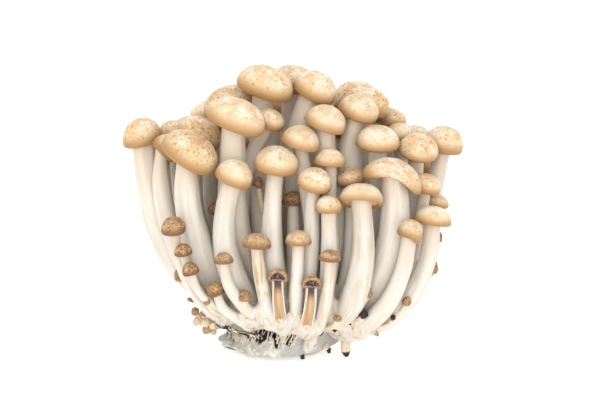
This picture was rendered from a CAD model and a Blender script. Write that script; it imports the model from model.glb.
# %% [markdown]
# # A cluster of brown beech mushrooms
#
# The real thing is one growth. A plug of pressed sawdust and white threads sits at the bottom, and
# out of it come some sixty mushrooms, each a long ivory stem under a tan cap shaped like a bun.
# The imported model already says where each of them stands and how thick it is. This lesson keeps
# those places and sizes, and gives every piece the fine shape and the finish of the real one.

import math

import bpy
import numpy as np
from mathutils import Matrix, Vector


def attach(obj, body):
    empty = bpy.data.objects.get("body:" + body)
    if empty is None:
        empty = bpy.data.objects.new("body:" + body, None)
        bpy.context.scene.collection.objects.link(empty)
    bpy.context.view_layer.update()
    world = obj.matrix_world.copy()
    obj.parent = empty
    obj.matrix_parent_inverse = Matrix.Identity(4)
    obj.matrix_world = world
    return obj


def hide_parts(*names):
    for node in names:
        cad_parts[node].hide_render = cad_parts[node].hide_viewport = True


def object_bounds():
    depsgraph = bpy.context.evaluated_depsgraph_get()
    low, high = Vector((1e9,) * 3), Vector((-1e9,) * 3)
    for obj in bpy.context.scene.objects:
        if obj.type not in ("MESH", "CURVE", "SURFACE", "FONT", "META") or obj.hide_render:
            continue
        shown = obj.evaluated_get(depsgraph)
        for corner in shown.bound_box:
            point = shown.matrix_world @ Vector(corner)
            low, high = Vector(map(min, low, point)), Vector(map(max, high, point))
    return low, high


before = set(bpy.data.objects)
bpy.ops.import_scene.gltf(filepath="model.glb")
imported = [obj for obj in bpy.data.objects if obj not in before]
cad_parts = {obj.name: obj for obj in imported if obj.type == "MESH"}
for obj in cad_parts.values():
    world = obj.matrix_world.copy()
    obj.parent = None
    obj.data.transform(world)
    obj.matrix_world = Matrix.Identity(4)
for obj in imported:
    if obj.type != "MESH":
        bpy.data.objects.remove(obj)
cad_box = [list(corner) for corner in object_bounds()]
MM = 0.001
LOWEST, HIGHEST = (np.array(corner) / MM for corner in cad_box)
MUSHROOMS = sorted(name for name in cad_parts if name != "root_block")
print(f"{len(MUSHROOMS)} mushrooms on one root block")

# %% [markdown]
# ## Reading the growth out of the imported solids
#
# Each packed mushroom is a coarse solid: a point at the foot, a stack of rings up the stem and
# round the cap, and a point at the top. The rings are what a finer surface needs, but a mesh only
# lists corners and faces. Walking outwards from the right end point, one step at a time, meets
# exactly one ring at each step, so that walk finds them again.


# %% Find the rings
def net_of(node):
    """A node's corners in millimetres, each listed once, and the corners that each is joined to."""
    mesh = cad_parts[node].data
    corners = np.empty(len(mesh.vertices) * 3)
    mesh.vertices.foreach_get("co", corners)
    places, index = np.unique(np.round(corners.reshape(-1, 3) / MM, 3), axis=0, return_inverse=True)
    index = index.reshape(-1)
    joined = [set() for _ in places]
    for edge in mesh.edges:
        a, b = (int(index[v]) for v in edge.vertices)
        if a != b:
            joined[a].add(b)
            joined[b].add(a)
    return places, joined


def steps_from(start, joined):
    """All corners, grouped by how many steps they are from the start."""
    seen, steps = {start}, [[start]]
    while steps[-1]:
        further = sorted(set().union(*(joined[a] for a in steps[-1])) - seen)
        seen.update(further)
        steps.append(further)
    return steps[:-1]


def walk_round(ring, joined):
    """A ring's corners in the order in which they're joined."""
    members, loop = set(ring), [ring[0]]
    while len(loop) < len(ring):
        loop.append(min(joined[loop[-1]] & members - set(loop)))
    return loop


def turned_like(ring, model):
    """The same ring, started and turned so that its corners lie nearest to another ring's."""
    ways = [np.roll(way, k, axis=0) for way in (ring, ring[::-1]) for k in range(len(ring))]
    return min(ways, key=lambda way: ((way - model) ** 2).sum())


def rings_of(node, sides=(8, 12, 20)):
    """The point that the rings start from, the rings in order, and the point that they end on."""
    places, joined = net_of(node)
    starts = [k for k, around in enumerate(joined) if len(around) in sides]
    for start in sorted(starts, key=lambda k: places[k][2]):
        steps = steps_from(start, joined)
        sides_here = len(joined[start])
        if len(steps) > 5 and all(len(step) == sides_here for step in steps[1:-1]):
            if len(steps[-1]) in (1, sides_here):
                break
    rings = [places[walk_round(step, joined)] for step in steps[1:] if len(step) > 1]
    first, middle = rings[0], rings[0].mean(0)
    turning = np.cross(first - middle, np.roll(first, -1, axis=0) - middle).sum(0)
    if turning @ (rings[1].mean(0) - middle) < 0:
        rings[0] = first[::-1]
    for k in range(1, len(rings)):
        rings[k] = turned_like(rings[k], rings[k - 1])
    return places[start], rings, places[steps[-1][0]]


found = {name: rings_of(name) for name in [*MUSHROOMS, "root_block"]}
print("rings in each mushroom:", sorted({len(rings) for _, rings, _ in found.values()}))

# %% [markdown]
# ## Curves through the rings
#
# Between its rings a real mushroom is smooth, so every coarse ring becomes a round curve, and
# matching points of all rings are joined by long curves. Both kinds pass through the packed
# corners, which keeps each mushroom at its packed size. The small bumps come from a smooth noise
# that is worked out from the position alone, so it is the same each time.


# %% Curves and unevenness
def round_curve(ring, count):
    """A closed smooth curve through a ring's corners, as this many points."""
    sides = len(ring)
    at = np.arange(count) * sides / count
    k = np.floor(at).astype(int)
    f = (at - k)[:, None]
    a, b, c, d = (ring[(k + step) % sides] for step in (-1, 0, 1, 2))
    return b + 0.5 * f * (c - a + f * (2 * a - 5 * b + 4 * c - d + f * (3 * (b - c) + d - a)))


def spacing(stations):
    """How far along each station lies, by the mean distance between matching points."""
    gaps = np.linalg.norm(np.diff(stations, axis=0), axis=2).mean(1)
    return np.concatenate([[0.0], np.cumsum(np.maximum(gaps, 1e-3))])


def long_curves(stations, knots, stops):
    """Smooth curves through matching points of several rings, read at these stops."""
    gaps = np.diff(knots)[:, None, None]
    slopes = np.diff(stations, axis=0) / gaps
    inner = (slopes[:-1] * gaps[1:] + slopes[1:] * gaps[:-1]) / (gaps[:-1] + gaps[1:])
    slopes = np.concatenate([slopes[:1], inner, slopes[-1:]])
    k = np.clip(np.searchsorted(knots, stops, side="right") - 1, 0, len(gaps) - 1)
    f, gap = ((stops - knots[k]) / np.diff(knots)[k])[:, None, None], gaps[k]
    start = (1 + 2 * f) * (1 - f) ** 2 * stations[k] + f * (1 - f) ** 2 * gap * slopes[k]
    return start + f**2 * (3 - 2 * f) * stations[k + 1] + f**2 * (f - 1) * gap * slopes[k + 1]


def unevenness(places, size, seed=0):
    """A smooth noise between -1 and 1, with lumps of about this size."""
    at = np.asarray(places) / size + seed * 7.31
    cell = np.floor(at).astype(np.int64)
    f = at - cell
    f = f * f * (3 - 2 * f)
    total = np.zeros(at.shape[:-1])
    for corner in np.ndindex(2, 2, 2):
        x, y, z = np.moveaxis(cell + corner, -1, 0)
        mixed = (x * 374761393 + y * 668265263 + z * 974634777 + seed * 69069) & 0xFFFFFFFF
        mixed = ((mixed ^ (mixed >> 13)) * 1274126177) & 0xFFFFFFFF
        share = np.where(corner, f, 1 - f).prod(-1)
        total += share * (((mixed ^ (mixed >> 16)) & 0xFFFF) / 32767.5 - 1)
    return total


def unit(v):
    return v / np.maximum(np.linalg.norm(v, axis=-1, keepdims=True), 1e-9)


def eased(value, low, high):
    """0 below low, 1 above high, and a smooth way between them."""
    t = np.clip((value - low) / (high - low), 0, 1)
    return t * t * (3 - 2 * t)


bun = round_curve(found["crown_mushroom_01"][1][-3], 120)
print(f"the widest ring of the top cap is {np.ptp(bun[:, 0]):.1f} mm across")

# %% [markdown]
# ## Turning rows of points into a piece
#
# A surface is made from rows of points, each row a closed ring, with one point at either end. It
# is closed, so it could be printed. Numbers that the finish needs later, such as how far up the
# cap a point lies, are stored on the points themselves, so they bend with the shape.


# %% Make a closed piece
def skin_mesh(rows, first, last, marks, slots, start):
    """The points, faces and marks of one closed skin whose points are numbered from start."""
    count, around = rows.shape[:2]
    k, j = np.meshgrid(np.arange(count - 1), np.arange(around), indexing="ij")
    after, this_row, next_row = (j + 1) % around, k * around, (k + 1) * around
    faces = np.stack([this_row + j, this_row + after, next_row + after, next_row + j], -1)
    faces = (faces.reshape(-1, 4) + start).tolist()
    top = start + (count - 1) * around
    low, high = top + around, top + around + 1
    faces += [[start + (j + 1) % around, start + j, low] for j in range(around)]
    faces += [[top + j, top + (j + 1) % around, high] for j in range(around)]
    slots = np.zeros(count - 1) if slots is None else slots
    slots = np.repeat([*slots, slots[0], slots[-1]], around)
    flat = {}
    for mark, values in marks.items():
        values = np.broadcast_to(values, rows.shape[:2]) if np.ndim(values) < 3 else values
        values = values.reshape(count, around, -1)
        ends = np.stack([values[0].mean(0), values[-1].mean(0)])
        flat[mark] = np.concatenate([values.reshape(-1, values.shape[2]), ends])
    return np.vstack([rows.reshape(-1, 3), first, last]), faces, slots, flat


def make_piece(name, skins, materials):
    """One mesh object from closed skins: each has rows of points in millimetres and two ends."""
    points, faces, slots, marks = [], [], [], {}
    for skin in skins:
        rows = skin["rows"]
        ends = skin.get("first", rows[0].mean(0)), skin.get("last", rows[-1].mean(0))
        start = sum(len(p) for p in points)
        p, f, s, m = skin_mesh(rows, *ends, skin.get("marks", {}), skin.get("slots"), start)
        points.append(p)
        faces += f
        slots.append(s)
        for mark, values in m.items():
            marks.setdefault(mark, []).append(values)
    mesh = bpy.data.meshes.new(name)
    points = np.clip(np.vstack(points), LOWEST, HIGHEST)  # a bulge mustn't make the cluster bigger
    mesh.from_pydata((points * MM).tolist(), [], faces)
    mesh.shade_smooth()
    for material in materials:
        mesh.materials.append(material)
    mesh.polygons.foreach_set("material_index", np.concatenate(slots).astype(np.int32))
    for mark, values in marks.items():
        values = np.concatenate(values)
        wide = values.shape[1] == 3
        layer = mesh.attributes.new(mark, "FLOAT_VECTOR" if wide else "FLOAT", "POINT")
        layer.data.foreach_set("vector" if wide else "value", values.ravel())
    made = bpy.data.objects.new(name, mesh)
    bpy.context.scene.collection.objects.link(made)
    return made


def on_cluster(piece, finish, *nodes):
    """The piece belongs to the cluster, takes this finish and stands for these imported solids."""
    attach(piece, "root")
    if nodes:
        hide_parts(*nodes)
    return piece


# %% [markdown]
# ## Writing finishes as sums
#
# A procedural finish is a recipe of small steps: a noise times a mask, one minus a pattern, a
# blend of two colours. Written as a node graph that is long to read, so a small class lets plain
# Python sums add the nodes, and one method adds any other kind of node.


# %% A recipe for a finish
class Amount:
    """A number that varies over a surface. Sums with it add Math nodes."""

    def __init__(self, recipe, socket):
        self.recipe, self.socket = recipe, socket

    def sum(self, operation, *values):
        return self.recipe.add("ShaderNodeMath", {"operation": operation}, dict(enumerate(values)))

    def __add__(self, other):
        return self.sum("ADD", self, other)

    def __sub__(self, other):
        return self.sum("SUBTRACT", self, other)

    def __rsub__(self, other):
        return self.sum("SUBTRACT", other, self)

    def __mul__(self, other):
        return self.sum("MULTIPLY", self, other)

    __radd__, __rmul__ = __add__, __mul__

    def rising(self, low, high):
        """0 where this is below low, 1 where it is above high, and smooth between."""
        span = {"Value": self, "From Min": low, "From Max": high}
        return self.recipe.add("ShaderNodeMapRange", {"interpolation_type": "SMOOTHSTEP"}, span)

    def falling(self, low, high):
        return 1 - self.rising(low, high)


class Recipe:
    """One finish: a Principled surface and the steps that feed it."""

    def __init__(self, name, **plain):
        self.material = bpy.data.materials.new(name)
        self.material.use_nodes = True
        self.tree = self.material.node_tree
        self.surface = self.tree.nodes["Principled BSDF"]
        for socket, value in plain.items():
            self.surface.inputs[socket.replace("_", " ")].default_value = value

    def fill(self, socket, value):
        if isinstance(value, Amount):
            self.tree.links.new(value.socket, socket)
        else:
            socket.default_value = value

    def add(self, kind, settings=None, inputs=None, out=0):
        """Adds any node: its kind, its settings, what goes in, and which output to read."""
        node = self.tree.nodes.new(kind)
        for setting, value in (settings or {}).items():
            setattr(node, setting, value)
        for name, value in (inputs or {}).items():
            self.fill(node.inputs[name], value)
        return Amount(self, node.outputs[out])

    def place(self):
        return self.add("ShaderNodeTexCoord", out="Object")

    def mark(self, name, out="Fac"):
        """A number stored on the points, or with out="Vector" three of them."""
        return self.add("ShaderNodeAttribute", {"attribute_name": name}, out=out)

    def noise(self, place, size, detail=3.0, rough=0.55, out="Fac"):
        """A cloudy pattern with clouds of about this many millimetres."""
        sizes = {"Vector": place, "Scale": 1000 / size, "Detail": detail, "Roughness": rough}
        return self.add("ShaderNodeTexNoise", {}, sizes, out)

    def cells(self, place, size, out="Distance"):
        """Spots this many millimetres apart: how far it is to one, or its own random colour."""
        return self.add("ShaderNodeTexVoronoi", {}, {"Vector": place, "Scale": 1000 / size}, out)

    def vector(self, operation, *values):
        """Sums with places and colours, which have three numbers each."""
        return self.add("ShaderNodeVectorMath", {"operation": operation}, dict(enumerate(values)))

    def stretched(self, place, x, y, z):
        """The place with its three numbers multiplied. Below 1, a pattern is drawn out that way."""
        return self.vector("MULTIPLY", place, (x, y, z))

    def shaken(self, place, size, by):
        """The place moved about by a noise, so that patterns on it lose their even edges."""
        push = self.vector("SUBTRACT", self.noise(place, size, out="Color"), (0.5, 0.5, 0.5))
        return self.vector("MULTIPLY_ADD", push, (by * MM, by * MM, by * MM), place)

    def blend(self, share, first, second):
        """From the first colour to the second."""
        first, second = ((*c, 1.0) if isinstance(c, tuple) else c for c in (first, second))
        settings = {"data_type": "RGBA", "clamp_factor": True}
        # the Mix node's sockets 6 and 7 are its two colours, and its output 2 is the mixed one
        return self.add("ShaderNodeMix", settings, {0: share, 6: first, 7: second}, 2)

    def finish(self, colour, roughness, height, depth, strength=1.0):
        """Feeds the surface: its colour, its roughness, and bumps of this depth in millimetres."""
        self.fill(self.surface.inputs["Base Color"], colour)
        self.fill(self.surface.inputs["Roughness"], roughness)
        bump = {"Height": height, "Distance": depth * MM, "Strength": strength}
        self.fill(self.surface.inputs["Normal"], self.add("ShaderNodeBump", {}, bump))
        return self.material


# %% [markdown]
# ## The cap's skin
#
# A grown cap has a dry, satin skin: beige to tan, paler where it is stretched over the top, and
# browner at the rolled rim. Small rusty flecks lie in drifts on it, some run together like water
# marks. A young cap is darker and matt, and so densely mottled that the pale ground only shows
# between the marks. One recipe does both, led by a number on each cap that says how young it is.
# Light goes a little way into the flesh, which is what keeps a mushroom from looking like clay.
# How far up the cap a point lies is 0 at the underside and 1 at the top, and is called its rise.

# %% Grown cap skin
FLESH = {
    "Subsurface_Weight": 0.18, "Subsurface_Radius": (1.0, 0.55, 0.3), "Subsurface_Scale": 0.0012,
    "Specular_IOR_Level": 0.3,
}
RIM = (0.14, 0.62)  # the rise below which a cap has the full brown of its rim, and where it ends


def grown_skin(cap, place, rise, flecked):
    """The skin of a grown cap, and how strong its flecks are."""
    torn = cap.shaken(place, 0.9, 0.7)
    drift = cap.noise(place, 4.5, 2.0)
    # cream, with golden clouds on the top, tan lower down, and brown at the rim
    ground = cap.blend(drift.rising(0.35, 0.68), (0.70, 0.62, 0.49), (0.62, 0.50, 0.345))
    gold = rise.rising(0.45, 0.9) * drift.rising(0.42, 0.6) * (flecked * 0.55 + 0.15)
    ground = cap.blend(gold, ground, (0.60, 0.37, 0.155))
    ground = cap.blend(rise.falling(0.3, 0.9) * 0.7, ground, (0.60, 0.42, 0.215))
    ground = cap.blend(rise.falling(*RIM) * 0.9, ground, (0.32, 0.16, 0.045))

    def spots(size, edge, chosen):
        """Ragged spots: those of the cells whose own random shade is among the chosen ones."""
        shade = cap.cells(torn, size, "Color")
        return cap.cells(torn, size).falling(*edge) * shade.rising(*chosen)

    # rusty flecks, small ones all over and larger water marks in drifts
    flecks = spots(0.72, (0.25, 0.55), (0.3, 0.45)) * 0.8
    flecks = flecks + spots(1.5, (0.2, 0.5), (0.36, 0.52)) * drift.rising(0.36, 0.52) * 0.9
    flecks = flecks * flecked * rise.rising(0.15, 0.5)
    return cap.blend(flecks, ground, (0.47, 0.235, 0.065)), flecks


# %% Young cap skin
def young_skin(cap, place, rise, young):
    """Brown, with paler patches and a dark rim, and the two noises that mottle and wrinkle it."""
    mottle = cap.noise(cap.shaken(place, 1.2, 0.9), 0.75, 4.0, 0.72)
    wrinkle = cap.noise(cap.stretched(cap.shaken(place, 1.6, 0.9), 0.3, 0.3, 1.5), 0.6)
    brown = cap.blend(mottle.rising(0.4, 0.6), (0.115, 0.052, 0.02), (0.47, 0.285, 0.13))
    patches = cap.noise(place, 2.4).rising(0.42, 0.6) * rise.rising(0.3, 0.5)
    brown = cap.blend(patches * (1.3 - young), brown, (0.60, 0.42, 0.235))
    brown = cap.blend(wrinkle.rising(0.52, 0.64) * 0.75, brown, (0.13, 0.058, 0.022))
    brown = cap.blend(rise.falling(*RIM) * 0.8, brown, (0.15, 0.07, 0.028))
    return brown, mottle, wrinkle


# %% Both skins, and a torn cap
def cap_skin():
    cap = Recipe("cap_skin", **FLESH)
    place = cap.place()
    rise, young, flecked = (cap.mark(mark) for mark in ("rise", "young", "flecked"))
    ground, flecks = grown_skin(cap, place, rise, flecked)
    brown, mottle, wrinkle = young_skin(cap, place, rise, young)
    colour = cap.blend(young, ground, brown)
    # where a cap was torn open: a thick brown rind, then dark gills
    opened = cap.mark("opened")
    rind = cap.blend(mottle.rising(0.4, 0.6), (0.20, 0.10, 0.04), (0.46, 0.27, 0.12))
    colour = cap.blend(opened.rising(0.0, 0.12), colour, rind)
    gills = cap.noise(cap.stretched(place, 1, 1, 0.35), 0.55)
    inside = cap.blend(gills.rising(0.42, 0.66), (0.022, 0.012, 0.013), (0.16, 0.095, 0.095))
    colour = cap.blend((opened + gills * 1.3 - rise * 0.6).rising(1.3, 1.6), colour, inside)
    grain = cap.noise(place, 0.45, 4.0, 0.6)
    height = grain * 0.5 + cap.noise(place, 2.2) * 0.9 - flecks * 0.35
    height = height + (mottle - wrinkle) * young * 0.8
    roughness = 0.40 + grain * 0.12 + young * 0.16 + flecks * 0.1
    return cap.finish(colour, roughness, height, 0.16, 0.55)


# %% [markdown]
# ## Gills, stems and cut flesh
#
# The gills are cream and matt. A stem is ivory, made of long fibres: fine silky lines run up it,
# slightly darker or clearer than the flesh between. Low down it turns warmer, with brown creases.
# The stems deep inside are creamier, and a few have ochre streaks where they were rubbed or dried.
# The fibres must follow each bent stem, so the pattern is laid out on three numbers stored on the
# stem: two around it and one along it, and it is drawn out long in the last of them.


# %% Gill and stem finishes
def gill_finish():
    gill = Recipe("gill_flesh", **FLESH)
    cloud = gill.noise(gill.place(), 1.5)
    colour = gill.blend(cloud.rising(0.3, 0.7), (0.66, 0.50, 0.33), (0.56, 0.39, 0.235))
    return gill.finish(colour, 0.7 + cloud * 0.1, gill.noise(gill.place(), 0.3), 0.05, 0.4)


def torn_stem(stem, colour, along, fine, broad):
    """Where a stem was torn open: white walls, and a tan core that is purple near the cap."""
    opened = stem.mark("opened") - along * 1.1 + broad * 0.6 - fine * 0.3
    low_end = (along + fine * 0.1).rising(0.5, 0.56)
    core = opened.rising(0.06, 0.2) * low_end
    crack = opened.rising(-0.06, 0.02) * opened.falling(0.08, 0.2) * low_end
    tan = stem.blend(broad.rising(0.4, 0.6), (0.52, 0.36, 0.205), (0.38, 0.23, 0.11))
    colour = stem.blend(core, colour, tan)
    colour = stem.blend(core * along.rising(0.76, 0.88), colour, (0.085, 0.04, 0.036))
    return stem.blend(crack * 0.8, colour, (0.14, 0.075, 0.04))


def stem_finish():
    stem = Recipe("stem_flesh", **FLESH)
    fibre, along, streaked = stem.mark("fibre", "Vector"), stem.mark("along"), stem.mark("streaked")
    fine = stem.noise(stem.stretched(fibre, 1, 1, 0.05), 0.32, 3.0, 0.6)
    broad = stem.noise(stem.stretched(fibre, 1, 1, 0.09), 1.6, 2.0)
    cloud = stem.noise(stem.place(), 7.0, 2.0)
    warm = cloud.rising(0.45, 0.7) * along.falling(0.1, 0.6) * 0.35
    # ivory with silky lines, warmer low down, and creamier on the stems deep inside
    colour = stem.blend(broad.rising(0.35, 0.7), (0.61, 0.575, 0.515), (0.545, 0.495, 0.42))
    colour = stem.blend(fine.rising(0.5, 0.72) * 0.5, colour, (0.54, 0.465, 0.37))
    colour = stem.blend(warm, colour, (0.64, 0.54, 0.41))
    colour = stem.blend(stem.mark("inner") * 0.75, colour, (0.67, 0.585, 0.465))
    # ochre streaks, a tan collar under the cap, and brown creases near the foot
    patches = stem.noise(stem.place(), 6.0, 1.0).rising(0.42, 0.56)
    streak = broad.rising(0.46, 0.6) * streaked * patches * along.rising(0.3, 0.5)
    colour = stem.blend(streak * (0.55 + fine * 0.6), colour, (0.48, 0.28, 0.125))
    colour = stem.blend(along.rising(0.7, 0.98) * 0.6, colour, (0.54, 0.42, 0.30))
    crease = broad.rising(0.47, 0.5) * broad.falling(0.5, 0.53) * along.falling(0.15, 0.55)
    colour = stem.blend(crease * 0.4, colour, (0.38, 0.25, 0.13))
    colour = torn_stem(stem, colour, along, fine, broad)
    return stem.finish(colour, 0.5 + fine * 0.14, fine * 0.5 + broad * 1.2, 0.16, 0.6)


CAP_SKIN, GILL_FLESH, STEM_FLESH = cap_skin(), gill_finish(), stem_finish()
print("finishes:", CAP_SKIN.name, GILL_FLESH.name, STEM_FLESH.name)

# %% [markdown]
# ## What sets each mushroom apart
#
# How young a cap looks, how flecked it is and how streaked its stem is differ from one mushroom to
# the next. Short tables hold the ones that stand out, and the rest get a small share of their own
# from the noise, so that no two are quite alike.

# %% Traits of the finish
YOUNG = {
    "young_mushroom_01": 0.75, "young_mushroom_02": 0.45, "young_mushroom_03": 0.85,
    "young_mushroom_04": 0.80, "young_mushroom_05": 0.85, "young_mushroom_06": 0.85,
    "young_mushroom_07": 0.95, "young_mushroom_08": 1.0, "young_mushroom_09": 1.0,
    "young_mushroom_10": 0.95, "front_mushroom_08": 1.0, "front_mushroom_05": 0.35,
    "front_mushroom_06": 0.0, "right_mushroom_11": 0.28, "left_mushroom_06": 0.22,
    "back_mushroom_12": 0.8,
}
FLECKED = {
    "crown_mushroom_01": 0.6, "crown_mushroom_02": 0.8, "crown_mushroom_03": 0.75,
    "crown_mushroom_04": 1.0, "crown_mushroom_05": 0.5, "crown_mushroom_07": 0.3,
    "crown_mushroom_09": 1.0, "crown_mushroom_10": 1.0, "crown_mushroom_11": 0.45,
    "left_mushroom_01": 0.75, "left_mushroom_02": 0.8, "left_mushroom_04": 1.0,
    "left_mushroom_05": 1.0, "front_mushroom_01": 0.3, "front_mushroom_02": 0.5,
    "front_mushroom_05": 0.9, "front_mushroom_06": 0.25, "right_mushroom_01": 0.4,
    "right_mushroom_02": 0.8, "right_mushroom_04": 0.9, "right_mushroom_06": 0.8,
    "right_mushroom_07": 0.7, "right_mushroom_10": 0.35,
}
STREAKED = {
    "young_mushroom_01": 1.0, "young_mushroom_02": 0.35, "young_mushroom_03": 0.55,
    "young_mushroom_04": 0.4, "young_mushroom_05": 0.4, "front_mushroom_06": 0.3,
    "young_mushroom_10": 0.3,
}


def own_share(name, seed):
    """A steady random number from 0 to 1 for this mushroom."""
    number = 100 * len(name) + 7 * int(name[-2:]) + 31 * (ord(name[0]) % 13)
    return float(unevenness([[number * 1.37, seed * 3.1, 0.5]], 1.0, seed)[0]) / 2 + 0.5


print("flecks on the first crown cap:", FLECKED["crown_mushroom_01"])

# %% [markdown]
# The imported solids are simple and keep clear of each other. The real mushrooms press together, so
# many stems are thicker than packed where they rise, and most caps have a flatter underside and a
# sharper rim. One cap is tipped back, two mushrooms stand a little taller, and one cap is a thin
# saddle that its stem reaches higher into. These are tables too, and the shapes below read them.

# %% Traits of the shape
THICKER = {  # how many times as wide as packed, for a whole group or for one stem
    "back": 1.3, "crown": 1.15, "crown_mushroom_07": 1.4, "crown_mushroom_08": 1.5,
    "crown_mushroom_10": 1.6, "left_mushroom_01": 1.4, "left_mushroom_06": 1.2,
    "right_mushroom_01": 1.15,
}
FLATTER = {  # 0 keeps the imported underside, 1 makes it quite flat
    "others": 0.25,
    "crown_mushroom_03": 0.4, "crown_mushroom_05": 0.4, "crown_mushroom_07": 0.75,
    "crown_mushroom_08": 0.5, "crown_mushroom_11": 0.8, "front_mushroom_01": 0.4,
    "front_mushroom_02": 0.55, "front_mushroom_04": 0.8, "front_mushroom_07": 0.6,
    "left_mushroom_01": 0.5, "right_mushroom_01": 0.5, "right_mushroom_06": 0.5,
    "right_mushroom_10": 0.65, "young_mushroom_01": 0.5, "young_mushroom_02": 0.6,
    "young_mushroom_03": 0.5, "young_mushroom_06": 0.5,
}
INNER = {"back": 0.9, "crown": 0.6, "others": 0.1}  # how deep inside the cluster the stems stand
NODDED = {"front_mushroom_06": -9.0}  # degrees, below zero backwards
SADDLE, LOBED = "right_mushroom_02", "right_mushroom_11"
LIFTED = {"back_mushroom_10": 5.0, "left_mushroom_06": 2.5}  # millimetres, cap and stem
LONGER = {**LIFTED, SADDLE: 3.0}  # millimetres, stem only
print(f"{len(FLATTER) - 1} caps have a flatness of their own")

# %% [markdown]
# ## Mushrooms that were torn open
#
# Two of the young ones lost their front when the cluster was pulled apart, so that the inside
# shows: a thin brown rind round dark gills, and a stem with white walls and a tan core. Pressing
# every point that is too far forward back to a shallow hollow makes such a tear and keeps the
# surface closed. How far each point was pressed is kept, because it tells the rind from the core.

# %% Open the front of a piece
OPENED = ("young_mushroom_04", "young_mushroom_05")


def open_front(rows, front, hollow):
    """Presses what lies before a front back to it, and says how far each point was pressed."""
    pressed = np.maximum(front - rows[..., 1], 0)
    ragged = unevenness(rows, 1.1, 9) * 0.12 * (pressed > 0)
    rows = rows.copy()
    rows[..., 1] += pressed * (1 + hollow) + ragged
    return rows, pressed


# %% [markdown]
# ## Caps
#
# A cap is a bun with its rim rolled in. Below, sharp gills run from the rolled rim to the stem.
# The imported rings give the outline, and the curve over the top takes in the rings on the far side
# too, so that it is smooth across the middle. The underside is pleated: neighbouring points go up
# and down in turn, which makes real gills and not a painted pattern.

# %% Cap surfaces
# how far out each row under the cap lies, and how high it arches as a share of the cap's height
UNDERSIDE = ((0.0, 0.03), (0.14, 0.055), (0.36, 0.07), (0.56, 0.06), (0.70, 0.02), (0.84, -0.012))
PLEATS = (0.4, 1, 1, 1, 0.9, 0.6, 0.25)  # how deep the gills are, from the stem out to the rim


def cap_rows(rings, top, grown, seed):
    """Rows of points from the stem, out under the gills, round the rim and over the top."""
    around, rows_over = (120, 30) if grown else (84, 22)
    neck, under, rim, shoulder, crown = (round_curve(ring, around) for ring in rings[-5:])
    up = unit(top - rim.mean(0))
    tall = (top - under.mean(0)) @ up
    radius = np.linalg.norm(rim - rim.mean(0), axis=1).mean()
    below = [neck + (under - neck) * share + up * tall * lift for share, lift in UNDERSIDE]
    facing = [np.roll(ring, around // 2, axis=0) for ring in (crown, shoulder)]
    peak = np.broadcast_to(top, rim.shape)
    stations = np.stack([*below, under, rim, shoulder, crown, peak, *facing])
    knots = spacing(stations)
    # stations 0 to 3 carry the gills, 3 to 6 the rolled lip, and 6 to 10 the skin over the top
    gills = np.linspace(0, knots[3], len(PLEATS))
    lip = np.linspace(knots[3], knots[6], 8)[1:]
    over = knots[6] + (knots[10] - knots[6]) * np.linspace(0, 1, rows_over)[1:-1] ** 0.93
    rows = long_curves(stations, knots, np.concatenate([gills, lip, over]))
    depth = np.zeros(len(rows))
    depth[: len(gills)] = PLEATS
    pleats = depth[:, None] * np.where(np.arange(around) % 2, 1, -1)
    rows = rows + up * pleats[..., None] * tall * 0.035
    # a real cap isn't turned on a lathe: its rim waves, and its top has shallow dents
    centre = rim.mean(0)
    out = unit(rows - centre)
    swell = unevenness(rows, radius * 1.1, seed) * 0.022
    swell = swell + unevenness(rows, radius * 0.45, seed + 1) * 0.010
    free = (np.arange(len(rows)) >= len(gills)).astype(float)[:, None]
    rows = rows + out * ((swell - 0.012) * radius * free)[..., None]
    return rows, up


# %% [markdown]
# Four small functions then change single caps. A flatter underside moves the widest ring down and
# stretches what is above it, so the top stays where it is. The saddle is a bent sheet, so its bend
# is measured on its rim, and only what hangs below that bend is drawn up. A tipped cap shows its
# gills in front, and on one cap a lobe of the rim hangs down on the right.


# %% Changes to single caps
def flattened(rows, widest, up, amount):
    """Lowers the widest ring of a cap towards its underside, which makes its rim sharper."""
    high = (rows - widest) @ up
    drop, tall = high.min() * amount * 0.7, high.max()
    level = np.where(high < 0, high * (1 - amount), high * (tall - drop) / tall) + drop
    return rows + up * (level - high)[..., None]


def slimmed(rows, rings, up, amount):
    """Makes the saddle-shaped cap thinner from below, less so at its ends, and keeps its bend."""
    rim, shoulder = rings[-3], rings[-2]
    middle = rim.mean(0)
    across = unit(rim[np.linalg.norm(rim - middle, axis=1).argmax()] - middle)
    bend = -np.polyfit(((rim - middle) @ across) ** 2, (rim - middle) @ up, 1)[0]
    level = ((shoulder - middle) @ up + bend * ((shoulder - middle) @ across) ** 2).mean()
    aside = (rows - middle) @ across
    high = (rows - middle) @ up + bend * aside**2
    amount = amount * (1 - 0.7 * (aside / np.abs(aside).max()) ** 2)
    return rows + up * (np.maximum(level - high, 0) * amount)[..., None]


def nodded(rows, middle, degrees):
    """Tips a cap forwards or, below zero, back, so that its gills show in front."""
    turn = math.radians(degrees)
    y, z = rows[..., 1] - middle[1], rows[..., 2] - middle[2]
    rows = rows.copy()
    rows[..., 1] = middle[1] + y * math.cos(turn) - z * math.sin(turn)
    rows[..., 2] = middle[2] + y * math.sin(turn) + z * math.cos(turn)
    return rows


def lobed(rows, middle, up, rise):
    """Lets the rim hang down by up to 1.4 millimetres on the right and in front."""
    flat = (rows - middle) * (1, 1, 0)
    far = eased(flat @ np.array([0.87, -0.5, 0]), 1.6, 4.0) * eased(-rise, -0.55, -0.1)
    return rows - up * (far * 1.4)[..., None]


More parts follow.
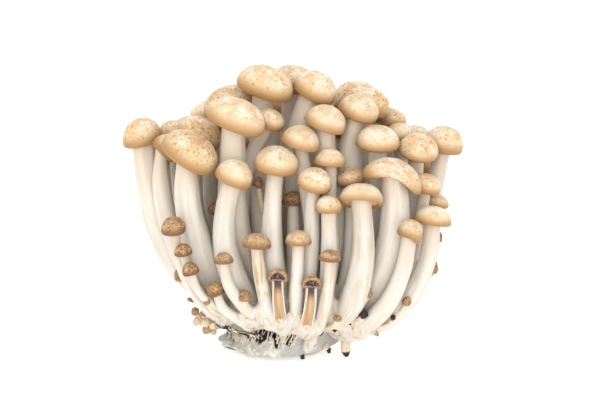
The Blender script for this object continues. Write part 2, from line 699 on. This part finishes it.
# %% Caps
def make_cap(name, seed):
    _, rings, top = found[name]
    grown = len(rings[0]) == 12
    rows, up = cap_rows(rings, top, grown, seed)
    neck, under, widest = (ring.mean(0) for ring in rings[-5:-2])
    if name == SADDLE:
        rows = slimmed(rows, rings, up, 0.52)
    else:
        rows = flattened(rows, widest + up * 0.9, up, FLATTER.get(name, FLATTER["others"]))
    shown_rim = 0.14 * (name in NODDED)  # a cap that is tipped back shows less of its brown rim
    rise = np.clip(((rows - under) @ up) / ((top - under) @ up) + shown_rim, 0, 1)
    rows = nodded(rows, under, NODDED.get(name, 0.0))
    lift = np.array((0, 0, LIFTED.get(name, 0.0)))
    rows, top = rows + lift, rows[-1].mean(0) + lift
    young = YOUNG.get(name, 0.16 * own_share(name, 2) ** 2 + (0 if grown else 0.08))
    flecked = FLECKED.get(name, 0.4 + 0.4 * own_share(name, 4))
    opened = np.zeros(rise.shape)
    if name in OPENED:
        rows, opened = open_front(rows, widest[1] - 1.4, 0.30)
    if name == LOBED:
        rows = lobed(rows, widest, up, rise)
    skin = {"rows": rows, "first": neck + up * 0.6 + lift, "last": top}
    skin["marks"] = {"rise": rise, "young": young, "flecked": flecked, "opened": opened}
    skin["slots"] = np.where(np.arange(len(rows) - 1) < len(PLEATS) - 1, 1, 0)  # 1 is the gills
    piece = make_piece(name + "_cap", [skin], [CAP_SKIN, GILL_FLESH])
    slot = "young_mushroom" if name.startswith("young") else "grown_mushroom"
    return on_cluster(piece, slot, name)


caps = [make_cap(name, seed) for seed, name in enumerate(MUSHROOMS)]
print(f"{len(caps)} caps, {sum(len(cap.data.polygons) for cap in caps)} faces")

# %% [markdown]
# ## Stems
#
# Every stem carries on past its packed foot into the fused flesh, as the real ones do, because
# they all grew out of one mass. It has long shallow ridges and a few slow swellings, laid out
# around and along the stem, like the fibres in its finish. Its lowest part is kept a second time,
# wider at the foot, for the fused flesh that is made from all of them further on.

# %% Stem surfaces
ROOTS = ((0.3, 2.1), (0.72, 1.1))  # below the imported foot: how wide, and how deep in stem widths
HEADS = ((1.04, 1.0), (0.8, 2.4))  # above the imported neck: how wide, and how high in millimetres
BASE = ((0, 0.5, 1), (1.28, 0.97, 0.5))  # how wide the foot is for the fused flesh, going up


def stem_rows(rings, seed, merging):
    """Rows of points from the root block up into the cap, their marks, and the wide base."""
    around = 48
    body = np.stack([round_curve(ring, around) for ring in rings[:-4]])
    middles = body.mean(1)
    down = unit(middles[0] - middles[1])
    up = unit(middles[-1] - middles[-2])
    wide = np.linalg.norm(body[0] - middles[0], axis=1).mean()
    foot, neck = body[0] - middles[0], body[-1] - middles[-1]
    roots = [middles[0] + foot * share + down * wide * step for share, step in ROOTS]
    head = [middles[-1] + neck * share + up * step for share, step in HEADS]
    stations = np.stack([*roots, *body, *head])
    knots = spacing(stations)
    rows = long_curves(stations, knots, np.linspace(0, knots[-1], int(knots[-1] / 1.05)))
    middles = rows.mean(1, keepdims=True)
    out = rows - middles
    steps = np.linalg.norm(np.diff(middles[:, 0], axis=0), axis=1)
    along = np.concatenate([[0], np.cumsum(steps)])
    turn = np.arange(around) * math.tau / around
    girth = np.linalg.norm(out, axis=2).mean()
    fibre = np.empty(rows.shape)
    fibre[..., 0] = np.cos(turn) * girth
    fibre[..., 1] = np.sin(turn) * girth
    fibre[..., 2] = along[:, None]
    ridges = unevenness(fibre * (1, 1, 0.10), 1.7, seed) * 0.045
    ridges = ridges + unevenness(fibre * (1, 1, 0.16), 3.2, seed + 3) * 0.05
    swells = unevenness(fibre * (0.5, 0.5, 1), 9.0, seed + 5) * 0.045
    low = along < (24.0 if wide > 1.5 else 17.0)
    spread = np.interp(np.linspace(0, 1, low.sum()), *BASE)
    base = middles[low] + out[low] * spread[:, None, None] * merging
    rows = middles + out * (1 + ridges + swells - 0.01)[..., None]
    share = np.broadcast_to(along[:, None] / along[-1], rows.shape[:2])
    return rows, fibre, share, base


# %% Stems
stem_bases = []


def make_stem(name, seed):
    _, rings, _ = found[name]
    slim = len(rings[0]) == 8
    # a slim stem has the widest foot for its size, or it would stand in the flesh like a pin
    merging = 1.45 if slim and name not in OPENED else 1.0
    rows, fibre, share, base = stem_rows(rings, seed, merging)
    stem_bases.append({"rows": base})
    family = name.split("_")[0]
    swollen = 1 + (THICKER.get(name, THICKER.get(family, 1.0)) - 1) * eased(share, 0.15, 0.5)
    middles = rows.mean(1, keepdims=True)
    rows = middles + (rows - middles) * swollen[..., None]
    rows[..., 2] += LONGER.get(name, 0.0) * eased(share, 0.3, 1.0)
    marks = {"fibre": fibre * MM, "along": share, "opened": np.zeros(share.shape)}
    marks["streaked"] = STREAKED.get(name, 0.10 * own_share(name, 6))
    marks["inner"] = INNER.get(family, INNER["others"])
    if name in OPENED:
        middles = rows.mean(1, keepdims=True)
        width = np.linalg.norm(rows - middles, axis=2).mean(1)[:, None]
        rows, marks["opened"] = open_front(rows, middles[..., 1] - width * 0.35, 0.25)
    piece = make_piece(name + "_stem", [{"rows": rows, "marks": marks}], [STEM_FLESH])
    return on_cluster(piece, "grown_mushroom", name)


stems = [make_stem(name, seed + 100) for seed, name in enumerate(MUSHROOMS)]
print(f"{len(stems)} stems, {sum(len(stem.data.polygons) for stem in stems)} faces")

# %% [markdown]
# ## The root block
#
# The plug below is what is left of the block that the cluster was grown on: pale grey threads
# over pressed sawdust, rough where it was torn and smooth where a knife went through. Above it
# the flesh of all the stems runs together, as ivory as they are, with brown creases between one
# foot and the next. They are two materials, so they are two pieces.


# %% Root block finishes
def plug_finish():
    plug = Recipe("root_plug", Subsurface_Weight=0.05, Subsurface_Scale=0.001)
    place = plug.place()
    pit, smooth, strands = (plug.mark(mark) for mark in ("pit", "smooth", "strands"))
    cloud = plug.noise(place, 3.2, 5.0, 0.7)
    crumb = plug.noise(plug.shaken(place, 0.8, 0.6), 0.7, 4.0, 0.7)
    colour = plug.blend(cloud.rising(0.34, 0.64), (0.66, 0.65, 0.585), (0.36, 0.345, 0.285))
    colour = plug.blend(crumb.rising(0.54, 0.72) * 0.7, colour, (0.17, 0.14, 0.10))
    colour = plug.blend(plug.noise(place, 6.0).rising(0.56, 0.7) * 0.4, colour, (0.42, 0.29, 0.15))
    colour = plug.blend(smooth * (0.55 + cloud * 0.4), colour, (0.37, 0.385, 0.37))
    strand = plug.blend(crumb.rising(0.4, 0.6), (0.70, 0.66, 0.56), (0.46, 0.37, 0.25))
    colour = plug.blend(strands * 0.8, colour, strand)
    colour = plug.blend(pit.rising(0.2, 0.6), colour, (0.014, 0.011, 0.008))
    return plug.finish(colour, 0.85 - smooth * 0.2, cloud + crumb * 0.8, 0.5, 0.9)


def fused_finish():
    fused = Recipe("fused_flesh", **FLESH)
    place = fused.place()
    fine = fused.noise(fused.stretched(place, 1, 1, 0.12), 0.5, 3.0)
    cloud = fused.noise(fused.stretched(place, 1, 1, 0.3), 2.4, 4.0)
    colour = fused.blend(cloud.rising(0.35, 0.68), (0.61, 0.575, 0.515), (0.54, 0.475, 0.385))
    colour = fused.blend(fine.rising(0.52, 0.75) * 0.45, colour, (0.52, 0.43, 0.32))
    # brown creases where one foot was pressed against the next, and tan bruises along them
    pressed = fused.noise(fused.stretched(place, 1, 1, 0.12), 2.8, 0.0)
    crease = pressed.rising(0.47, 0.5) * pressed.falling(0.5, 0.53)
    bruise = pressed.rising(0.42, 0.5) * pressed.falling(0.5, 0.6) * cloud.rising(0.45, 0.6)
    colour = fused.blend(bruise * 0.5, colour, (0.52, 0.36, 0.19))
    colour = fused.blend(crease * (cloud.rising(0.38, 0.6) * 0.7), colour, (0.26, 0.145, 0.065))
    return fused.finish(colour, 0.55 + cloud * 0.12, cloud + fine * 0.4 - crease * 0.3, 0.3, 0.6)


PLUG, FUSED = plug_finish(), fused_finish()

# %% Root block outline
UPRIGHTS, LEVEL = 320, 0.25  # the block's wall as upright curves, read at every quarter millimetre
dome_top, block_rings, _ = found["root_block"]
block_rings = sorted(block_rings, key=lambda ring: ring[0, 2])
block = np.stack([round_curve(ring, UPRIGHTS) for ring in block_rings])
levels = block[:, :, 2].mean(1)
fine = long_curves(block, levels, np.arange(0, levels[-1], LEVEL))
middle = block[:4].mean((0, 1)) * (1, 1, 0)
print("levels of the root block in mm:", np.round(levels, 1).tolist())


def block_at(heights):
    """Where each of the block's upright curves is at its own height."""
    k = np.clip(np.asarray(heights) / LEVEL, 0, len(fine) - 1.001)
    low = np.floor(k).astype(int)
    j = np.broadcast_to(np.arange(UPRIGHTS), low.shape)
    f = (k - low)[..., None]
    found_at = fine[low, j] * (1 - f) + fine[low + 1, j] * f
    found_at[..., 2] = heights
    return found_at


def toward_middle(rows, share):
    """The rows drawn in towards the block's upright middle line."""
    centre = rows * (0, 0, 1) + middle
    return centre + (rows - centre) * share


def turn_of(points):
    """Which way each point lies from the block's middle, in degrees: 0 right, -90 in front."""
    return np.degrees(np.arctan2(points[..., 1] - middle[1], points[..., 0] - middle[0]))


def upright_facing(facing):
    """Which of the block's upright curves faces this way."""
    return int(np.abs(turn_of(block[0]) - facing).argmin())


def wall_at(facing, height):
    """A point on the block's wall that faces this way, and the way it faces."""
    point = block_at(np.full(UPRIGHTS, height))[upright_facing(facing)]
    return point, unit((point - middle) * (1, 1, 0))


# where the flesh ends on the plug: high on the left, low in front, halfway up behind
across = block[0, :, 0] - dome_top[0]
in_front = 1 - eased(block[0, :, 1] - middle[1], -6, 8)
hem = np.interp(across, [-26, -11, 1, 10, 17], [15.0, 13.0, 9.6, 10.4, 12.5])
hem = 12.0 + (hem - 12.0) * in_front
hem = hem + unevenness(block[2], 3.5, 40) * 0.6

# %% [markdown]
# ### The fused flesh
#
# It is a low dome with soft upright folds, and its lower edge hangs over the plug like a lip. The
# stems don't stick into it like pins: each one widens and melts into its neighbours. So the dome
# and the lowest part of every stem are grown by 1.5 millimetres, made into one skin by a voxel
# remesh, smoothed, and shrunk back again, which leaves the narrow gaps between them filled.

# %% Fused flesh
SHOULDER = 21.4  # how high the block's wall is in millimetres, where its dome begins


def dome_skin():
    """Rows of points under the hem, up the wall and over the dome of the block."""
    share = np.linspace(0, 1, 34)[:, None]
    wall = block_at(hem + (SHOULDER - hem) * share)
    tucked = ((0.45, 2.2), (0.75, 1.6), (0.92, 0.7))
    under = [toward_middle(wall[0], s) + (0, 0, h) for s, h in tucked]
    edge, stops = wall[-1], (0.2, 0.45, 0.7, 0.9)
    over = [edge + (dome_top - edge) * (s, s, 0) + (0, 0, 3.3 * s) for s in stops]
    return {"rows": np.concatenate([under, wall, over]), "last": dome_top}


def melted(piece, gap, voxel, rounds):
    """Closes the narrow gaps in a piece: it is grown, made one skin, smoothed and shrunk back."""
    for kind, settings in (
        ("DISPLACE", {"mid_level": 0.0, "strength": gap * MM}),
        ("REMESH", {"mode": "VOXEL", "voxel_size": voxel * MM}),
        ("SMOOTH", {"factor": 0.5, "iterations": rounds}),
        ("DISPLACE", {"mid_level": 0.0, "strength": -gap * 0.8 * MM}),
    ):
        step = piece.modifiers.new(kind.lower(), kind)
        for setting, value in settings.items():
            setattr(step, setting, value)
    worked_out = piece.evaluated_get(bpy.context.evaluated_depsgraph_get())
    made = bpy.data.meshes.new_from_object(worked_out)
    piece.modifiers.clear()
    piece.data = made
    return piece


def roughened(piece, relief):
    """Moves every point along its normal by relief(points), in millimetres."""
    mesh = piece.data
    points, normals = np.empty(len(mesh.vertices) * 3), np.empty(len(mesh.vertices) * 3)
    mesh.vertices.foreach_get("co", points)
    mesh.vertex_normals.foreach_get("vector", normals)
    points, normals = points.reshape(-1, 3) / MM, normals.reshape(-1, 3)
    points = points + normals * relief(points)[:, None]
    points[:, 2] = np.maximum(points[:, 2], 0)
    mesh.vertices.foreach_set("co", (points * MM).ravel())
    mesh.shade_smooth()
    return piece


def folds(points):
    """Soft upright folds and slow lumps."""
    return unevenness(points * (1, 1, 0.25), 2.2, 41) * 0.22 + unevenness(points, 5.0, 42) * 0.25


def make_fused_flesh():
    piece = make_piece("fused_flesh", [dome_skin(), *stem_bases], [FUSED])
    piece = melted(piece, gap=1.5, voxel=0.6, rounds=7)
    return on_cluster(roughened(piece, folds), "root_block", "root_block")


fused_flesh = make_fused_flesh()
print(f"the fused flesh has {len(fused_flesh.data.polygons)} faces")

# %% [markdown]
# ### The plug
#
# Upright grooves cover it, because the threads in it grew upwards. High on its left it came away
# from the flesh, which left deep dark pits. On its right a knife cut it, in three flat facets.
# Its edge below is worn, higher at both ends than in the middle, where it stands on its cut face.

# %% Pits, grooves and cuts
FACETS = ((-74, 0.9), (-42, 1.5), (-8, 1.2))  # the way each facet faces in degrees, and its depth


def plug_relief(wall, turn):
    """How far the wall stands out, where it is smooth, and where it is torn and bitten."""
    ragged = hem + unevenness(wall * (1, 1, 0), 2.0, 57) * 1.8
    reach = 7.0 + 3.5 * eased(-turn, 105, 150)
    torn = eased(wall[..., 2], ragged - reach, ragged - reach + 3.0) * eased(-turn, 66, 84)
    strand = unevenness(wall * (1, 1, 0.12), 1.15, 50)
    strand = strand - 0.5 * unevenness(wall * (1, 1, 0.5), 3.6, 56)
    bite = torn * eased(strand, -0.22, 0.12)
    grooves = unevenness(wall * (1, 1, 0.2), 1.5, 52) * 0.35
    grooves = grooves + unevenness(wall * (1, 1, 0.35), 3.4, 53) * 0.55
    crumbs = unevenness(wall, 0.9, 54) * 0.14 + unevenness(wall, 6.5, 55) * 0.7
    smooth = eased(turn, -92, -84) * (1 - eased(turn, 2, 12))
    return (grooves + crumbs) * (1 - 0.8 * smooth) - bite * 2.4 - 0.35, smooth, torn, bite


def sliced(rows):
    """The rows cut flat by the knife, and how surely each point lies on a cut."""
    cut = np.zeros(rows.shape[:2])
    for facing, depth in FACETS:
        turned = math.radians(facing)
        normal = np.array([math.cos(turned), math.sin(turned), -0.22])
        normal /= np.linalg.norm(normal)
        reach = (rows[len(rows) // 2] - middle) @ normal
        over = np.maximum((rows - middle) @ normal - (reach.max() - depth), 0)
        rows = rows - normal * over[..., None]
        cut = np.maximum(cut, eased(over, 0, 0.25))
    return rows, cut


# %% Root plug
def make_root_plug():
    share = np.linspace(0, 1, 72)[:, None]
    wall = block_at((hem + 1.0) * share)
    relief, smooth, torn, bite = plug_relief(wall, turn_of(wall))
    rows, cut = sliced(toward_middle(wall, (1 + relief / 20)[..., None]))
    closing = [toward_middle(rows[-1], s) + (0, 0, h) for s, h in ((0.8, 0.4), (0.4, 0.6))]
    footing = [toward_middle(rows[0], s) * (1, 1, 0) for s in (0.3, 0.6, 0.82, 0.95)]
    rows = np.concatenate([footing, rows, closing])
    right, front = rows[..., 0] - dome_top[0], dome_top[1] - rows[..., 1]
    worn = 2.4 * eased(-right, 14, 24) + 2.6 * eased(right, 6, 16) + 1.8 * eased(front, 6, 17)
    rows[..., 2] = rows[..., 2] + worn * np.exp(-rows[..., 2] / 4.0)
    marks = {"pit": bite, "smooth": cut * smooth, "strands": torn - bite}
    ends = ((len(footing), len(closing)), (0, 0))
    marks = {mark: np.pad(values, ends) for mark, values in marks.items()}
    piece = make_piece("root_plug", [{"rows": rows, "marks": marks}], [PLUG])
    return on_cluster(piece, "root_block", "root_block")


root_plug = make_root_plug()
print(f"the plug has {len(root_plug.data.polygons)} faces")

# %% [markdown]
# ## Threads, pins and stubs
#
# White threads still bridge the pits, and a fan of them, pale and dried in turn, runs to a knot of
# buttons on the left. Between the stems sit pins, which are mushrooms that never grew up: a thin
# stalk and a button. Some dried up and turned black at the tip. All of them are tubes: rows of
# points round a path, with a width for each row.


# %% Tubes
def tube_rows(path, ways, widths, around):
    """Rows of points round the points of a path, each facing its own way, with its own width."""
    side, rows, turn = np.array([0.31, -0.95, 0.05]), [], np.arange(around) * math.tau / around
    for point, way, width in zip(path, ways, widths):
        side = unit(side - way * (side @ way))
        other = np.cross(way, side)
        ring = np.cos(turn)[:, None] * side + np.sin(turn)[:, None] * other
        rows.append(point + ring * width / 2)
    return np.stack(rows)


def bent_path(start, leaving, end, arriving, count):
    """A smooth path that leaves one point and arrives at another in the given directions."""
    t = np.linspace(0, 1, count)[:, None]
    reach = np.linalg.norm(end - start)
    path = (2 * t**3 - 3 * t**2 + 1) * start + (t**3 - 2 * t**2 + t) * leaving * reach
    return path + (3 * t**2 - 2 * t**3) * end + (t**3 - t**2) * arriving * reach


# %% Root threads
PIT_THREADS, KNOT_THREADS = 34, 22
DOWN = np.array([0.0, 0.0, -1.0])


def thread_finish():
    thread = Recipe("thread", **FLESH)
    cloud = thread.noise(thread.place(), 1.2)
    colour = thread.blend(cloud.rising(0.35, 0.65), (0.72, 0.68, 0.58), (0.50, 0.43, 0.32))
    colour = thread.blend(thread.mark("dried"), colour, (0.035, 0.024, 0.016))
    return thread.finish(colour, 0.75 + cloud * 0.1, cloud, 0.05, 0.4)


def thread_skin(start, leaving, end, arriving, width, dried, seed):
    """One thread, which wanders a little and is thickest at its two ends."""
    path = bent_path(start, unit(leaving), end, unit(arriving), 14)
    path = path + np.stack([unevenness(path, 1.6, seed + i) for i in range(3)], 1) * 0.22
    widths = width * (0.8 + 0.7 * np.linspace(-1, 1, len(path)) ** 2)
    marks = {"dried": np.full((len(path), 1), dried)}
    return {"rows": tube_rows(path, unit(np.gradient(path, axis=0)), widths, 8), "marks": marks}


def pit_thread(k):
    """One of the threads that run down over the pits."""
    jolt = unevenness([[k * 1.7, 0.3, 0.2], [k * 2.3, 5.1, 0.4]], 1.0, 60)
    facing = -176 + 90 * (k + 0.6 * jolt[0]) / PIT_THREADS
    edge = hem[upright_facing(facing)]
    top, out = wall_at(facing, edge + 0.8)
    low, out = wall_at(facing + 3 * jolt[1], edge - 3.5 - 2.5 * ((k * 7) % 5) / 5)
    width = 0.3 + 0.5 * ((k * 5) % 7) / 7
    start, leaving, arriving = top - out * 0.6, DOWN - out * 0.4, DOWN + out * 0.5
    return thread_skin(start, leaving, low - out * 0.3, arriving, width, 0.0, 62 + k)


def knot_thread(k):
    """One of the threads from the knot of buttons to the plug's left end."""
    jolt = unevenness([[k * 1.9, 2.3, 0.2], [k * 2.1, 7.1, 0.4]], 1.0, 61)
    share = np.clip((k + jolt[0]) / (KNOT_THREADS - 1), 0, 1)
    start = dome_top + np.array([-30.5, -15.0, -9.2]) + np.array([10.5, -3.0, -3.4]) * share
    low, out = wall_at(-172 + 50 * share, 9.4 + 1.2 * jolt[1])
    leaving, arriving, width = DOWN + out * 0.2, DOWN - out * 0.6, 0.42 + 0.2 * jolt[0]
    return thread_skin(start, leaving, low, arriving, width, k % 2, 130 + k)


def make_threads():
    skins = [pit_thread(k) for k in range(PIT_THREADS)]
    skins += [knot_thread(k) for k in range(KNOT_THREADS)]
    return on_cluster(make_piece("root_threads", skins, [THREAD]), "root_block")


THREAD = thread_finish()
root_threads = make_threads()
print(f"the threads have {len(root_threads.data.polygons)} faces")

# %% [markdown]
# ### Pins
#
# A pin is placed by how far its head is from the top of the root block. Its stalk starts deep in
# the fused flesh, leaves it at right angles and bends to the way the head faces, like the big
# stems around it.

# %% Pins
# the outline of a head: how far up it each row lies, and how wide it is there
BUTTON = (
    (0.0, 0.55), (-0.05, 0.78), (-0.02, 0.93), (0.12, 1.0), (0.36, 0.95), (0.6, 0.78),
    (0.82, 0.52), (0.95, 0.27),
)
POINTED = ((0.0, 1.0), (0.25, 0.98), (0.5, 0.86), (0.75, 0.62), (0.92, 0.34))
# each pin: where its head is from the top of the block, the way it faces, how wide its stalk is,
# how wide and high its head is, all in millimetres, and its shade from 0, ivory, to 1, black
PINS = {
    "left_pin_01": ((-39.4, -18, 6.0), (-0.35, -0.1, 1), 2.6, 4.7, 4.2, 0.55),
    "left_pin_02": ((-29.6, -28, -0.4), (-0.3, -0.3, 1), 2.0, 3.2, 3.0, 0.5),
    "front_pin_01": ((-16.6, -31, 1.6), (0.05, -0.2, 1), 3.0, 5.3, 3.4, 0.42),
    "right_pin_01": ((26.9, -28, 2.4), (0.2, -0.5, 1), 2.2, 3.5, 3.4, 0.4),
    "right_pin_03": ((41.0, -22, -2.2), (0.3, -0.4, 1), 2.1, 3.3, 3.0, 0.35),
    "right_pin_04": ((36.4, -22, -7.6), (0.3, -0.5, 1), 1.3, 1.9, 1.7, 1.0),
    "right_pin_05": ((50.6, -12.5, 7.6), (0.35, -0.2, 1), 3.0, 4.4, 4.4, 0.5),
    "right_pin_06": ((53.2, -6.0, 17.6), (0.4, 0.0, 1), 2.0, 3.3, 3.4, 0.45),
    "left_pin_03": ((-27.7, -10, 29.0), (-0.3, -0.2, 1), 2.2, 4.3, 3.6, 0.7),
    "left_pin_04": ((-11.7, -12, 39.0), (-0.1, -0.2, 1), 2.2, 3.9, 3.4, 0.5),
    "front_pin_02": ((16.3, -32, -5.6), (0.1, -0.3, 1), 2.0, 3.2, 1.6, 0.45),
    "front_pin_03": ((10.3, -30, -2.0), (0.1, -0.6, 0.8), 1.2, 1.5, 1.4, 0.8),
}


def button_finish():
    button = Recipe("button_skin", **FLESH)
    place, shade = button.place(), button.mark("shade")
    mottle = button.noise(button.shaken(place, 1.0, 0.6), 0.7, 4.0, 0.7)
    colour = button.blend(mottle.rising(0.35, 0.7), (0.70, 0.62, 0.48), (0.56, 0.43, 0.27))
    brown = button.blend(mottle.rising(0.36, 0.64), (0.15, 0.075, 0.034), (0.42, 0.255, 0.12))
    colour = button.blend(shade.rising(0.12, 0.4), colour, brown)
    colour = button.blend(shade.rising(0.6, 0.92), colour, (0.018, 0.014, 0.012))
    return button.finish(colour, 0.55 + mottle * 0.15, mottle, 0.15, 0.6)


BUTTON_SKIN = button_finish()
STALK_ROWS = 22
heart = dome_top - (0, 0, 14.8)
dome_size = (24.0, 22.0, 16.0)


def rooted(head):
    """The point inside the fused flesh below a head, straight towards the block's heart."""
    way = head - heart
    return heart + way * 0.8 / np.linalg.norm(way / dome_size)


def pin_skin(head, aim, stalk, width, height, shade, seed, outline=BUTTON, foot=None, rough=0.12):
    """One closed skin: a stalk from the flesh and a head on it."""
    head, aim = dome_top + head, unit(np.array(aim, float))
    foot = rooted(head) if foot is None else dome_top + foot
    path = bent_path(foot, unit(foot - heart), head, aim, STALK_ROWS)
    steps, outs = np.array(outline).T
    ways = np.concatenate([unit(np.gradient(path, axis=0)), np.tile(aim, (len(steps), 1))])
    path = np.concatenate([path, head + aim * (steps * height)[:, None]])
    widths = np.concatenate([np.linspace(1.25, 0.95, STALK_ROWS) * stalk, outs * width])
    rows = tube_rows(path, ways, widths, 28)
    rows += (rows - path[:, None]) * (unevenness(rows, 0.9, seed) * rough)[..., None]
    shades = np.full((len(rows), 1), float(shade))
    shades[: STALK_ROWS - 1] = 0
    return {"rows": rows, "last": head + aim * height, "marks": {"shade": shades}}


little = []


def add_little(name, skins, finish=BUTTON_SKIN):
    """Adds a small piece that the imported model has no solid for."""
    little.append(on_cluster(make_piece(name, skins, [finish]), "young_mushroom"))


for seed, (name, pin) in enumerate(PINS.items()):
    add_little(name, [pin_skin(*pin, seed + 300)])
print(f"{len(little)} pins")

# %% [markdown]
# ### Stubs with black tips, and a knot of buttons
#
# On the lower right the tips of dried mushrooms stick out, and a black-tipped stub hangs down past
# the plug, with the torn-off pale foot of another in front of it. On the left a knot of little
# buttons grew outwards, and its own threads hold it to the plug.

# %% Black tips
TIPS = {
    "black_tip_01": ((20.7, -23.5, -9.2), (0.2, -0.8, 0.4), 1.8, 1.9, 1.3, 1.0),
    "black_tip_02": ((15.8, -21.5, -11.8), (-0.2, -0.9, 0.1), 2.0, 1.9, 1.5, 1.0),
    "black_tip_03": ((10.4, -20.2, -13.4), (-0.3, -0.9, -0.1), 2.4, 2.4, 1.2, 1.0),
    "black_tip_04": ((4.2, -16.8, -23.2), (0.1, -0.7, -0.6), 2.0, 1.8, 1.1, 1.0),
    "black_tip_05": ((13.6, -14.5, -21.4), (0.4, -0.6, -0.8), 2.2, 1.8, 1.2, 1.0),
    "black_tip_06": ((25.4, -27.0, -5.2), (0.1, -0.5, 1), 2.4, 3.2, 2.6, 1.0),
    "pale_tip_01": ((30.6, -17.0, -14.4), (0.7, -0.3, -0.6), 2.0, 1.6, 1.6, 0.3),
    "brown_tip_01": ((-36.2, -12.5, -3.2), (-0.9, -0.2, 0.4), 1.8, 1.9, 1.8, 0.55),
}
for seed, (name, tip) in enumerate(TIPS.items()):
    add_little(name, [pin_skin(*tip, seed + 330, POINTED, rough=0.5)])

foot = ((6.0, -19.4, -19.0), (-0.25, -0.25, -1), 4.6, 3.8, 2.2, 0.0)
stub = ((20.0, -12.4, -22.6), (0.12, 0.0, -1), 3.5, 2.6, 1.9, 1.0)
add_little("pale_foot", [pin_skin(*foot, 351, POINTED, (8.6, -15.5, -11.5), 0.2)], FUSED)
add_little("hanging_stub", [pin_skin(*stub, 350, POINTED, (17.2, -9.0, -13.0))])

# %% Knot of buttons
KNOT = (
    ((-34.4, -16.0, -7.2), (-0.3, -0.3, 1), 2.4, 3.0, 2.6, 0.55),
    ((-31.6, -16.5, -7.4), (0.2, -0.4, 1), 2.0, 2.5, 2.2, 0.42),
    ((-33.8, -17.0, -10.0), (-0.8, -0.5, 0.2), 2.6, 3.2, 2.0, 0.24),
    ((-31.0, -17.8, -10.6), (-0.2, -1, 0.1), 2.8, 3.3, 1.8, 0.2),
    ((-30.6, -17.0, -13.0), (-0.4, -0.7, -0.6), 2.6, 2.9, 2.0, 0.33),
    ((-28.6, -17.2, -11.4), (0.3, -0.9, -0.2), 2.4, 2.8, 1.6, 0.18),
    ((-28.2, -16.4, -13.8), (0.2, -0.6, -0.8), 2.2, 2.5, 1.6, 0.26),
)
KNOT_FOOT = (-24.5, -12.5, -12.0)
skins = [pin_skin(*pin, seed + 360, BUTTON, KNOT_FOOT, 0.35) for seed, pin in enumerate(KNOT)]
add_little("knot_of_buttons", skins)
print(f"{len(little)} little pieces, the last a knot of {len(KNOT)} buttons")

# %% [markdown]
# ## The room, the light and the camera
#
# The cluster stands on a wide white floor that curves up behind it and glows a little, so that it
# stays white in the shade. Most of the light comes from a wide soft lamp straight ahead, which
# reaches into the gaps between the stems. A smaller one at the upper left gives each form a lit
# side, a weak one stands on the right, and a white surrounding keeps the gaps warm instead of
# black. The camera looks down by ten degrees, from far enough away to keep the shapes true.


# %% Floor and light
def floor_finish():
    paper = Recipe("white_paper", Emission_Color=(1, 1, 1, 1), Emission_Strength=0.4)
    grain = paper.noise(paper.place(), 6.0)
    white = paper.blend(grain, (0.93, 0.93, 0.93), (0.96, 0.96, 0.96))
    return paper.finish(white, 0.85 + grain * 0.1, grain, 0.02, 0.1)


def make_floor():
    back, round_off, low = 700, 400, -0.02  # millimetres, and a hair below the plug's cut face
    turns = np.linspace(0.2, math.pi / 2, 8)
    bend = [(-1500, low), (back, low)]
    bend += [(back + round_off * math.sin(a), round_off - round_off * math.cos(a)) for a in turns]
    bend += [(back + round_off, 1600)]
    points = [(x * MM, y * MM, z * MM) for y, z in bend for x in (-2500, 2500)]
    faces = [(2 * k, 2 * k + 1, 2 * k + 3, 2 * k + 2) for k in range(len(bend) - 1)]
    mesh = bpy.data.meshes.new("white_floor")
    mesh.from_pydata(points, [], faces)
    mesh.shade_smooth()
    mesh.materials.append(floor_finish())
    made = bpy.data.objects.new("white_floor", mesh)
    bpy.context.scene.collection.objects.link(made)
    return made


make_floor()


def soft_lamp(name, place, watts, size):
    """A square area lamp that faces the middle of the cluster."""
    light = bpy.data.lights.new(name, "AREA")
    light.energy, light.size = watts, size
    lamp = bpy.data.objects.new(name, light)
    lamp.location = Vector(place)
    lamp.rotation_euler = (Vector((0, 0, 0.05)) - lamp.location).to_track_quat("-Z", "Y").to_euler()
    bpy.context.scene.collection.objects.link(lamp)


soft_lamp("window_left", (-0.5, -0.75, 1.1), 2.6, 0.6)
soft_lamp("fill_right", (0.9, -0.9, 0.5), 1.2, 0.9)
soft_lamp("fill_front", (0.0, -1.2, 0.4), 7.5, 1.0)
world = bpy.data.worlds.new("white_room")
world.use_nodes = True
surrounding = world.node_tree.nodes["Background"].inputs
surrounding["Color"].default_value = (1, 1, 1, 1)
surrounding["Strength"].default_value = 1.04
bpy.context.scene.world = world
bpy.context.scene.view_settings.view_transform = "Standard"

# %% Camera
target = Vector((dome_top[0] + 1.0, dome_top[1] - 4.0, 53.0)) * MM
tilt, distance = math.radians(10), 0.62
lens = bpy.data.cameras.new("camera")
lens.lens, lens.sensor_width = 100, 36
lens.shift_x, lens.shift_y = 0.0196, 0.0114
lens.clip_start, lens.clip_end = 0.01, 20
camera = bpy.data.objects.new("camera", lens)
camera.location = target + Vector((0, -distance * math.cos(tilt), distance * math.sin(tilt)))
camera.rotation_euler = (math.pi / 2 - tilt, 0, 0)
bpy.context.scene.collection.objects.link(camera)
bpy.context.scene.camera = camera
